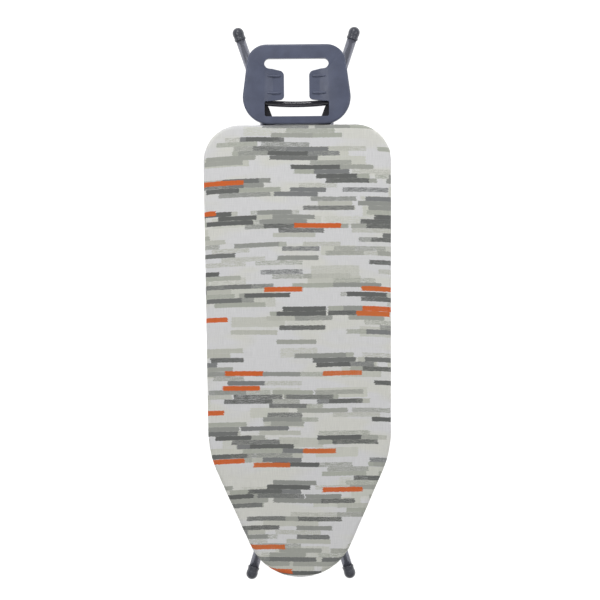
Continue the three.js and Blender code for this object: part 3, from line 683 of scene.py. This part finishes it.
def tube_plug(kind, word, side):
    """A plug with a shallow dish that closes a tube's hinge end."""
    leg = LEGS[kind]
    stem = TUBE_R - TUBE_WALL - 0.2 * MM
    profile = (
        (0, -5 * MM),
        (stem - 0.6 * MM, -5 * MM),
        (stem, -4 * MM),
        (stem, 0.1 * MM),
        (TUBE_R - 0.3 * MM, 0.1 * MM),
        (TUBE_R - 0.3 * MM, 0.7 * MM),
        (TUBE_R - 0.7 * MM, 1.2 * MM),
        (TUBE_R - 1.4 * MM, 1.4 * MM),
        (TUBE_R - 5 * MM, 1.4 * MM),
        (TUBE_R - 6 * MM, 0.9 * MM),
        (0, 0.9 * MM),
    )
    at = (side * leg["x"], -leg["way"] * (HINGE_REACH + TUBE_END), LEG_Z)
    bm = turned(profile, at, (0, -leg["way"], 0), 40)
    return piece(f"{kind}_plug_{word}", bm, GREY_PLASTIC, f"{kind}_leg", f"{kind}_tube_plug_{word}")


def crossbar(kind, y, half):
    """A round bar between a leg's tubes, with a bead of weld round each end."""
    radius = 8 * MM
    bead = 2.2 * MM
    profile = [(0, -half), (radius, -half)]
    for sign in (-1, 1):
        seat = sign * (half - TUBE_R * 0.62)
        angles = [math.pi * i / 6 for i in range(7)]
        arc = [(radius + bead * math.sin(a), seat - sign * bead * math.cos(a)) for a in angles]
        profile += arc[::-1] if sign < 0 else arc
    profile += [(radius, half), (0, half)]
    bm = turned(profile, (0, y, LEG_Z), (1, 0, 0), 40)
    return piece(f"{kind}_crossbar", bm, SLATE_PAINT, f"{kind}_leg", f"{kind}_leg_crossbar")


for kind in LEGS:
    for word, side in SIDES:
        leg_tube(kind, word, side)
        foot_cap(kind, word, side)
        tube_plug(kind, word, side)
crossbar("outer", 416 * MM, 66 * MM)
crossbar("inner", -470 * MM, 59 * MM)


# ------------------------------------------------------------------ turned fittings


def bounds_along(node, axis):
    low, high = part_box(node)
    return low[axis], high[axis]


def near_end(node, side=1):
    """The middle of a box's end face, the one nearer the middle of the board."""
    low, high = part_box(node)
    return low.x if side > 0 else high.x, (low.y + high.y) / 2, (low.z + high.z) / 2


def dome(radius, height):
    """The profile of a low dome, from its tip out to its rim."""
    angles = [math.pi / 2 * i / 6 for i in range(7)]
    return [(radius * math.sin(a), height * (1 - math.cos(a))) for a in angles]


def round_bar(node, body):
    """A straight bar along X with chamfered ends, where the frame has it."""
    low, high = bounds_along(node, 0)
    radius, chamfer = PIN_R, 0.6 * MM
    length = high - low
    profile = (
        (0, 0), (radius - chamfer, 0), (radius, chamfer),
        (radius, length - chamfer), (radius - chamfer, length), (0, length),
    )
    return piece(f"{node}_round", turned(profile, near_end(node), (1, 0, 0), 32), ZINC, body, node)


def sleeve(node, body, outer):
    """A plain tube along X with eased edges, on a rod."""
    low, high = bounds_along(node, 0)
    ease = 0.5 * MM
    length = high - low
    profile = (
        (ROD_BORE, 0), (outer - ease, 0), (outer, ease),
        (outer, length - ease), (outer - ease, length), (ROD_BORE, length), (ROD_BORE, 0),
    )
    return piece(f"{node}_round", turned(profile, near_end(node), (1, 0, 0), 40), NYLON, body, node)


def rod_cap(node, body, side):
    """A push-on dome cap with a rolled skirt."""
    low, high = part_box(node)
    length = high.x - low.x
    radius = (high.y - low.y) / 2
    profile = (
        (PIN_R, 0),
        (radius - 0.4 * MM, 0),
        (radius, 0.4 * MM),
        (radius, 1.4 * MM),
        (radius - 0.5 * MM, 2 * MM),
        (radius - 1 * MM, 3 * MM),
        (radius - 2 * MM, length - 1.4 * MM),
        (radius - 4 * MM, length - 0.3 * MM),
        (0, length),
    )
    return piece(f"{node}_round", turned(profile, near_end(node, side), (side, 0, 0), 40), ZINC, body, node)


def rivet(node, body, axis, shank, head_height):
    """A round shank between two domed heads."""
    low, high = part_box(node)
    across = 1 if axis == 0 else 0
    head = (high[across] - low[across]) / 2
    length = high[axis] - low[axis]
    profile = dome(head, head_height) + [(shank, head_height)]
    profile += [(radius, length - along) for radius, along in reversed(profile)]
    at = (low + high) / 2
    at[axis] = low[axis]
    return piece(f"{node}_round", turned(profile, at, (X, Y, Z)[axis], 32), ZINC, body, node)


def pan_screw(node, body):
    """A screw from below: a domed head with a cross recess, and a threaded shank."""
    low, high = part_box(node)
    head = (high.x - low.x) / 2
    dome_height = head * 0.42
    shank = head * 0.5
    length = high.z - low.z
    profile = dome(head, dome_height) + [(shank, dome_height)]
    threads = 8
    pitch = (length - dome_height - 1.5 * MM) / threads
    for i in range(threads):
        base = dome_height + i * pitch
        profile += [(shank, base + pitch * 0.25), (shank * 0.82, base + pitch * 0.7)]
    profile += [(shank * 0.82, length - 1.2 * MM), (shank * 0.3, length), (0, length)]
    at = ((low.x + high.x) / 2, (low.y + high.y) / 2, low.z)
    made = piece(f"{node}_round", turned(profile, at, (0, 0, 1), 24), ZINC, body, node)
    wide, narrow, deep = head * 1.1, head * 0.24, dome_height * 1.1
    return carve(made, [block(size, at) for size in ((wide, narrow, deep), (narrow, wide, deep))])


round_bar("middle_pivot_rod", "outer_leg")
round_bar("slide_rod", "inner_leg")
sleeve("middle_spacer", "inner_leg", 6.5 * MM)
for word, side in SIDES:
    sleeve(f"middle_washer_{word}", "outer_leg", 8 * MM)
    rod_cap(f"middle_rod_cap_{word}", "outer_leg", side)
    rod_cap(f"slide_rod_cap_{word}", "inner_leg", side)
    rivet(f"hinge_pin_{word}", "board", 0, PIN_R, 2.5 * MM)
    pan_screw(f"support_bolt_{word}", "board")
    for number in (1, 2):
        pan_screw(f"rest_screw_{word}_{number}", "board")
for word in ("front", "middle", "rear"):
    rivet(f"guide_pin_{word}", "board", 0, 1.4 * MM, 1.2 * MM)
rivet("lever_pivot", "board", 2, 3 * MM, 2 * MM)
rivet("lever_drive_pin", "lever", 2, 2.5 * MM, 1.6 * MM)


def slide_bush(word, side):
    """A flanged roller that runs in a rail's slot."""
    node = f"slide_bush_{word}"
    low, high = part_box(node)
    roller, flange = 6 * MM, (high.y - low.y) / 2
    step, length = 2.8 * MM, high.x - low.x
    ease = 0.4 * MM
    profile = (
        (ROD_BORE, 0),
        (roller - ease, 0),
        (roller, ease),
        (roller, step),
        (flange - ease, step),
        (flange, step + ease),
        (flange, length - ease),
        (flange - ease, length),
        (ROD_BORE, length),
        (ROD_BORE, 0),
    )
    return piece(f"{node}_round", turned(profile, near_end(node, side), (side, 0, 0), 40), NYLON, "inner_leg", node)


for word, side in SIDES:
    slide_bush(word, side)


# ------------------------------------------------------------------ iron rest

REST_LOW, REST_HIGH = bounds_along("iron_rest", 2)
REST_WALL = 3 * MM
WING_TOP = 47 * MM
CLEAR = 5 * MM


def rest_opening(wall, low, high):
    """The hand slot, the waist between the wings, and the wide foot, as one prism with a wall's room round it."""
    right = (
        # x, y and radius of a corner in millimetres, and which way the room is added along Y
        (74, 562, 11, 1),
        (74, 540, 11, -1),
        (56, 538.5, 0, -1),
        (29, 532, 9, -1),
        (29, 468, 8, 1),
        (74, 463.5, 2, 1),
        (74, 429, 5, -1),
    )
    grow = wall / MM
    right = [(x + grow, y + way * grow, radius and radius + grow) for x, y, radius, way in right]
    left = [(-x, y, radius) for x, y, radius in reversed(right)]
    return flat_shape(right + left, low, high)


def wing_recess(side):
    """What sinks a wing: straight down at the waist, and rising in a ramp to the rim."""
    inner, outer, front, back, corner = 24, 54, 457, 543, 2
    ramp = 38 * MM
    corners = ((inner, front), (outer, front), (outer, back), (inner, back))
    bm = flat_shape([(side * x, y, corner) for x, y in corners], WING_TOP, REST_HIGH + CLEAR)
    for vert in bm.verts:
        if vert.co.z > REST_HIGH and abs(vert.co.x) > (inner + outer) / 2 * MM:
            vert.co.x += side * ramp
    return bm


def rest_hollow(roof):
    """The hollow under the moulding, with a wall left round its openings."""
    hollow = mesh_object("hollow", hull_slab(REST_ARCS, REST_LOW - 2 * MM, roof, REST_WALL, segments=96))
    carve(hollow, [rest_opening(REST_WALL, REST_LOW, roof + 1 * MM)])
    bm = bmesh.new()
    bm.from_mesh(hollow.data)
    bpy.data.objects.remove(hollow)
    return bm


def iron_rest():
    """A shell moulding: a flat face with eased edges, two sunk wings with ribs, and hollow walls below."""
    bm = hull_slab(REST_ARCS, REST_LOW, REST_HIGH, segments=128)
    bevel(bm, rim_edges(bm, REST_HIGH), 4.5 * MM, 6)
    rest = piece("rest_moulding", bm, SLATE_PLASTIC, "board", "iron_rest")
    carve(rest, [wing_recess(side) for _, side in SIDES])
    carve(rest, [rest_hollow(WING_TOP - REST_WALL), rest_opening(0, REST_LOW - CLEAR, REST_HIGH + CLEAR)])
    bar_notch = block((164 * MM, 27 * MM, 22.8 * MM), (0, 462.5 * MM, 28 * MM))
    carve(rest, [bar_notch])
    shade(rest)
    soften(rest, 1.2 * MM)
    apply_modifiers(rest)

    rib_x, rib_rows, rib_slope = 36, (483, 522), 0.06
    rib_profile = ((0, 0), (2.2, 0.6), (3, 2.5), (3, 30.5), (2.2, 32.4), (0, 33))
    rib_profile = [(radius * MM, along * MM) for radius, along in rib_profile]
    ribs = [
        turned(rib_profile, (side * rib_x * MM, y * MM, WING_TOP), (side, 0, rib_slope), 24)
        for _, side in SIDES for y in rib_rows
    ]
    return carve(rest, ribs, "UNION")


iron_rest()


def rest_support():
    """Two pressed arms and a round bowed bar, welded together and painted black. The black is partly paint and partly
    painted shade: the arms fill the shadowed hollow beside the rest's lower slot, and the bar is darkened to the shade
    of the recess.
    """
    low, high = 26.2 * MM, 28.7 * MM
    outline = (
        (50, 361, 3), (62, 361, 3), (64, 404, 4), (99, 425, 6), (99, 534, 6), (76, 534, 6), (76, 470, 4), (66, 455, 8),
        (50, 412, 10),
    )
    arms = [flat_shape([(side * x, y, radius) for x, y, radius in outline], low, high) for _, side in SIDES]
    half, bow, radius = 78 * MM, 5 * MM, 7 * MM
    bar_y, bar_z = 457.5 * MM, 31.9 * MM
    bow_radius = (half * half + bow * bow) / (2 * bow)
    sweep = math.asin(half / bow_radius)
    centre = Vector((0, bar_y + bow_radius, bar_z))
    bar = bmesh.new()
    bmesh.ops.create_circle(bar, segments=32, radius=radius, cap_ends=True)
    at_start = Matrix.Translation(centre) @ Matrix.Rotation(-sweep, 4, "Z") @ Matrix.Translation((0, -bow_radius, 0))
    bmesh.ops.transform(bar, matrix=at_start @ Matrix.Rotation(math.pi / 2, 4, "Y"), verts=bar.verts)
    bmesh.ops.spin(bar, geom=bar.faces[:], cent=centre, axis=(0, 0, 1), dvec=(0, 0, 0), angle=2 * sweep, steps=28)
    # The bracket's black arms and bar are painted shade where the hollow beside the lower slot lies in shadow, as well
    # as paint.
    made = piece("rest_bracket", arms[0], BLACK_PAINT_AND_SHADE, "board", "rest_support")
    carve(made, [arms[1], mend(bar)], "UNION")
    shade(made)
    return soften(made, 0.5 * MM, 2)


rest_support()


# ------------------------------------------------------------------ cloth, pad and mesh


HEM_REACH = 30 * MM
CORD_WIDTH = 2.2 * MM


def grid_cuts(bm, spacing, across, along):
    """Cuts a mesh along a grid of lines, so that it has points to move."""
    for axis, (start, end) in enumerate((across, along)):
        normal = (X, Y)[axis]
        for i in range(1, int((end - start) / spacing)):
            bmesh.ops.bisect_plane(
                bm, geom=bm.verts[:] + bm.edges[:] + bm.faces[:], dist=1e-6, plane_co=normal * (start + i * spacing),
                plane_no=normal,
            )


def settle_cloth(bm, low, high):
    """Lets the cloth ripple where the elastic gathers its skirt, and lie a little unevenly on the foam."""
    crown = high - 6 * MM

    def ripple(place, per_metre, seed):
        return noise.noise(Vector((place.x * per_metre, place.y * per_metre, seed)))

    for vert in bm.verts:
        place = vert.co
        drop = min(1.0, max(0.0, (high - place.z) / (high - low)))
        outward = Vector((vert.normal.x, vert.normal.y, 0))
        if place.z < crown:
            depth = 2.2 * MM * abs(ripple(place, 46, 0)) + 0.8 * MM * abs(ripple(place, 110, 7))
            place -= outward * (0.2 + 0.8 * drop) * depth
        elif vert.normal.z > 0.9:
            place.z += 0.25 * MM * ripple(place, 14, 3)


def board_cover():
    """The printed cover: a crowned top, a rounded edge, a skirt, and a hem drawn in underneath."""
    low, high = bounds_along("cover", 2)
    bm = hull_slab(BOARD_ARCS, low, high)
    bottom = [f for f in bm.faces if f.normal.z < -0.9]
    bmesh.ops.inset_region(bm, faces=bottom, thickness=HEM_REACH, use_even_offset=True)
    bmesh.ops.delete(bm, geom=bottom, context="FACES")
    bevel(bm, rim_edges(bm, high), 9 * MM, 7)
    bevel(bm, rim_edges(bm, low), 4 * MM, 4)
    grid_cuts(bm, 8 * MM, (-0.216, 0.216), (-0.63, 0.41))
    mend(bm)
    bm.normal_update()
    settle_cloth(bm, low, high)
    cover = piece("cover_cloth", bm, COTTON, "board", "cover")
    cloth = cover.modifiers.new("cloth_thickness", "SOLIDIFY")
    cloth.thickness = 1.0 * MM
    cloth.offset = -1
    return cover


cover = board_cover()


def foam_pad():
    low, high = bounds_along("foam_pad", 2)
    bm = hull_slab(BOARD_ARCS, low, high, 1.8 * MM)
    bevel(bm, rim_edges(bm, high), 4.6 * MM, 5)
    pad = piece("pad_foam", bm, FOAM, "board", "foam_pad")
    return pad


foam_pad()


def board_band(low, high, inset, width):
    """A closed band that follows the board's outline, with square edges."""
    bm = hull_slab(BOARD_ARCS, low, high, inset)
    flat = [f for f in bm.faces if abs(f.normal.z) > 0.9]
    bmesh.ops.inset_region(bm, faces=flat, thickness=width, use_even_offset=True)
    middle = [f for f in bm.faces if len(f.verts) > 8]
    rims = list({e for f in middle for e in f.edges})
    bmesh.ops.delete(bm, geom=middle, context="FACES_ONLY")
    bmesh.ops.bridge_loops(bm, edges=rims)
    return mend(bm)


def add_mesh(bm, other):
    """Adds another bmesh's faces to this one."""
    mesh = bpy.data.meshes.new("part")
    other.to_mesh(mesh)
    other.free()
    bm.from_mesh(mesh)
    bpy.data.meshes.remove(mesh)


def trim_to(bm, arcs, inset, planes=96):
    """Cuts away whatever of a flat mesh lies outside an outline."""
    for i in range(planes):
        turn = 2 * math.pi * i / planes
        outward = Vector((math.cos(turn), math.sin(turn), 0))
        faced = [arc for arc in arcs if outward.x * arc[3] > -1e-6]
        reach = max(outward.x * x + outward.y * y + radius for x, y, radius, _ in faced) - inset
        bmesh.ops.bisect_plane(
            bm, geom=bm.verts[:] + bm.edges[:] + bm.faces[:], dist=1e-6, plane_co=outward * reach, plane_no=outward,
            clear_outer=True,
        )


def hem_cord():
    """The elastic that draws the hem in."""
    low, high = bounds_along("hem_elastic", 2)
    bm = board_band(low, high, HEM_REACH + 0.3 * MM, CORD_WIDTH)
    return piece("hem_cord", bm, ELASTIC, "board", "hem_elastic")


hem_cord()


def mesh_sheet():
    """Expanded steel mesh: a lattice of long diamonds inside a flat border."""
    low, high = bounds_along("mesh_panel", 2)
    wide, tall, cells = 17 * MM, 10 * MM, 132
    strand, border, edge_inset = 1.5 * MM, 10 * MM, 5.8 * MM
    bm = bmesh.new()
    bmesh.ops.create_grid(bm, x_segments=cells, y_segments=cells, size=cells / 2)
    diamond = Matrix.Diagonal((wide / math.sqrt(2), tall / math.sqrt(2), 1, 1)) @ Matrix.Rotation(math.pi / 4, 4, "Z")
    place = Matrix.Translation((0, -0.11, (low + high) / 2))
    bmesh.ops.transform(bm, matrix=place @ diamond, verts=bm.verts)
    trim_to(bm, BOARD_ARCS, edge_inset + border / 2)
    bmesh.ops.wireframe(
        bm, faces=bm.faces[:], thickness=strand, use_replace=True, use_boundary=True, use_even_offset=False
    )
    add_mesh(bm, board_band(low, high, edge_inset, border))
    return piece("mesh_sheet", bm, SLATE_PAINT, "board", "mesh_panel")


mesh_sheet()


# ------------------------------------------------------------------ spring and grip


def bend(bm, end, centre, axis, angle=math.pi / 2, steps=6, climb=0.0):
    """Swings a wire's end face round an axis, which it may climb along Y."""
    swung = bmesh.ops.spin(
        bm, geom=end, cent=centre, axis=axis, dvec=(0, climb / steps, 0), angle=angle, steps=steps, use_duplicate=False
    )
    return only(BMFace, swung["geom_last"])


def return_spring():
    """An extension spring: a hook up through the release bar, the coil, and a hook into the rear brace's wall."""
    coil_r, curl, wire_x = 3 * MM, 1 * MM, -1 * MM
    box_low, box_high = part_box("return_spring")
    height = (box_low.z + box_high.z) / 2
    floor, roof = height - coil_r, height + coil_r
    start, end = box_low.y + 1.5 * MM, box_high.y - 3.1 * MM
    hole_y, hook_top, rise, turns = 345 * MM, 31.6 * MM, 1.5 * MM, 6.5

    bm = bmesh.new()
    bmesh.ops.create_circle(bm, segments=10, radius=0.6 * MM, cap_ends=True)
    bmesh.ops.translate(bm, vec=(wire_x, hole_y, hook_top), verts=bm.verts)
    tip = run_on(bm, bm.faces[:], (0, 0, floor + curl - hook_top))
    tip = bend(bm, tip, (wire_x, hole_y + curl, floor + curl), (1, 0, 0))
    tip = run_on(bm, tip, (0, start - hole_y - 2 * curl, 0))
    tip = bend(bm, tip, (0, start - curl, floor), (0, 0, -1))
    tip = bend(bm, tip, (0, start, height), (0, -1, 0), 2 * math.pi * turns, int(20 * turns), end - start)
    tip = bend(bm, tip, (0, end + curl, roof), (0, 0, -1))
    tip = bend(bm, tip, (wire_x, end + curl, roof + curl), (1, 0, 0))
    tip = run_on(bm, tip, (0, 0, rise))
    tip = bend(bm, tip, (wire_x, end + 3 * curl, roof + curl + rise), (-1, 0, 0))
    run_on(bm, tip, (0, 0.4 * MM, 0))
    spring = piece("hooked_spring", mend(bm), ZINC, None, "return_spring", sharp=60)
    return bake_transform(spring)


return_spring()


def lever_grip():
    """A soft grip pushed on the lever: waisted, with four finger rings and a domed end."""
    low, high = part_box("lever_grip")
    length = high.x - low.x
    half, tall = (high.y - low.y) / 2, (high.z - low.z) / 2
    bore, rings_start, rings, pitch, depth, dome_length = 4 * MM, 8 * MM, 4, 14 * MM, 0.7 * MM, 7 * MM
    profile = [(bore, 0), (tall - 1.6 * MM, 0), (tall - 0.6 * MM, 0.5 * MM), (tall - 0.2 * MM, 2 * MM), (tall, 4 * MM)]
    for i in range(rings * 8):
        profile.append((tall - depth * (1 - math.cos(2 * math.pi * i / 8)), rings_start + pitch * i / 8))
    profile += [(tall, rings_start + rings * pitch), (tall - 0.1 * MM, length - dome_length - 1 * MM)]
    angles = [math.radians(degrees) for degrees in range(15, 91, 15)]
    profile += [(tall * math.cos(a), length - dome_length * (1 - math.sin(a))) for a in angles]
    bm = turned(profile, (0, 0, 0), (1, 0, 0), 40)
    bmesh.ops.scale(bm, vec=(1, half / tall, 1), verts=bm.verts)
    bmesh.ops.translate(bm, vec=near_end("lever_grip"), verts=bm.verts)
    return piece("soft_grip", bm, SLATE_PLASTIC, "lever", "lever_grip")


lever_grip()


# ------------------------------------------------------------------ frame nodes that keep their shape


def dress(name, finish, round_by=0.0):
    """Gives a frame node its finish, and eases its edges."""
    node = nodes[name]
    node.data.materials.clear()
    node.data.materials.append(finish)
    if round_by:
        weld = node.modifiers.new("weld", "WELD")
        weld.merge_threshold = 1e-5
        soften(node, round_by, 2)


dress("edge_rim", SLATE_PAINT, 0.4 * MM)
for name in nodes:
    if name.endswith("_brace"):
        dress(name, SLATE_PAINT, 0.7 * MM)
for word, _ in SIDES:
    dress(f"hinge_bracket_{word}", ZINC, 0.5 * MM)
    dress(f"rail_{word}", ZINC, 0.3 * MM)
dress("release_bar", ZINC, 0.3 * MM)
dress("lever_strap", ZINC, 0.4 * MM)
dress("lever_arm", ZINC, 0.5 * MM)


# ------------------------------------------------------------------ floor, light and camera

PICTURE_WIDTH = 1.380
PICTURE_CENTRE = Vector((0.0035, 0.0069, 0.04))
CAMERA_HEIGHT = 6.0
CAMERA_ROLL = math.radians(0.5)
WHITE = (1, 1, 1, 1)
WORLD_STRENGTH = 0.235


def studio():
    """A white floor, a white world and four soft lights."""
    bm = bmesh.new()
    bmesh.ops.create_grid(bm, x_segments=1, y_segments=1, size=8.0)
    floor = mesh_object("floor", bm)
    material, g, shader = new_material("pale_floor", 0.9)
    speck = g.noise(g.place(), 3.0)
    g.feed(shader["Base Color"], g.mix(speck, (0.28, 0.28, 0.28, 1), (0.32, 0.32, 0.32, 1)))
    shader["Emission Color"].default_value = WHITE
    shader["Emission Strength"].default_value = 1.0
    floor.data.materials.append(material)

    world = bpy.data.worlds.new("studio")
    world.use_nodes = True
    background = world.node_tree.nodes["Background"].inputs
    background["Color"].default_value = WHITE
    background["Strength"].default_value = WORLD_STRENGTH
    bpy.context.scene.world = world

    for name, at, size, watts in (
        ("key", (-0.5, 3.0, 2.4), 1.2, 48),
        ("right", (2.4, 0.7, 2.6), 0.5, 20),
        ("left", (-1.5, 0.9, 2.8), 0.5, 15),
        ("low", (0.0, -2.8, 2.8), 1.6, 11),
    ):
        light = bpy.data.lights.new(name, "AREA")
        light.shape = "DISK"
        light.size = size
        light.energy = watts
        lamp = link(name, light)
        lamp.location = at
        lamp.rotation_mode = "QUATERNION"
        lamp.rotation_quaternion = (-Vector(at)).to_track_quat("-Z", "Y")


def camera():
    """Looks straight down, with PICTURE_WIDTH in view at the height of the cloth."""
    lens = bpy.data.cameras.new("camera")
    lens.sensor_width = 36
    lens.lens = lens.sensor_width * (CAMERA_HEIGHT - PICTURE_CENTRE.z) / PICTURE_WIDTH
    lens.clip_end = 50
    shot = link("camera", lens)
    shot.location = (PICTURE_CENTRE.x, PICTURE_CENTRE.y, CAMERA_HEIGHT)
    shot.rotation_euler = (0, 0, -CAMERA_ROLL)
    bpy.context.scene.camera = shot


studio()
camera()
bpy.context.scene.view_settings.view_transform = "Standard"
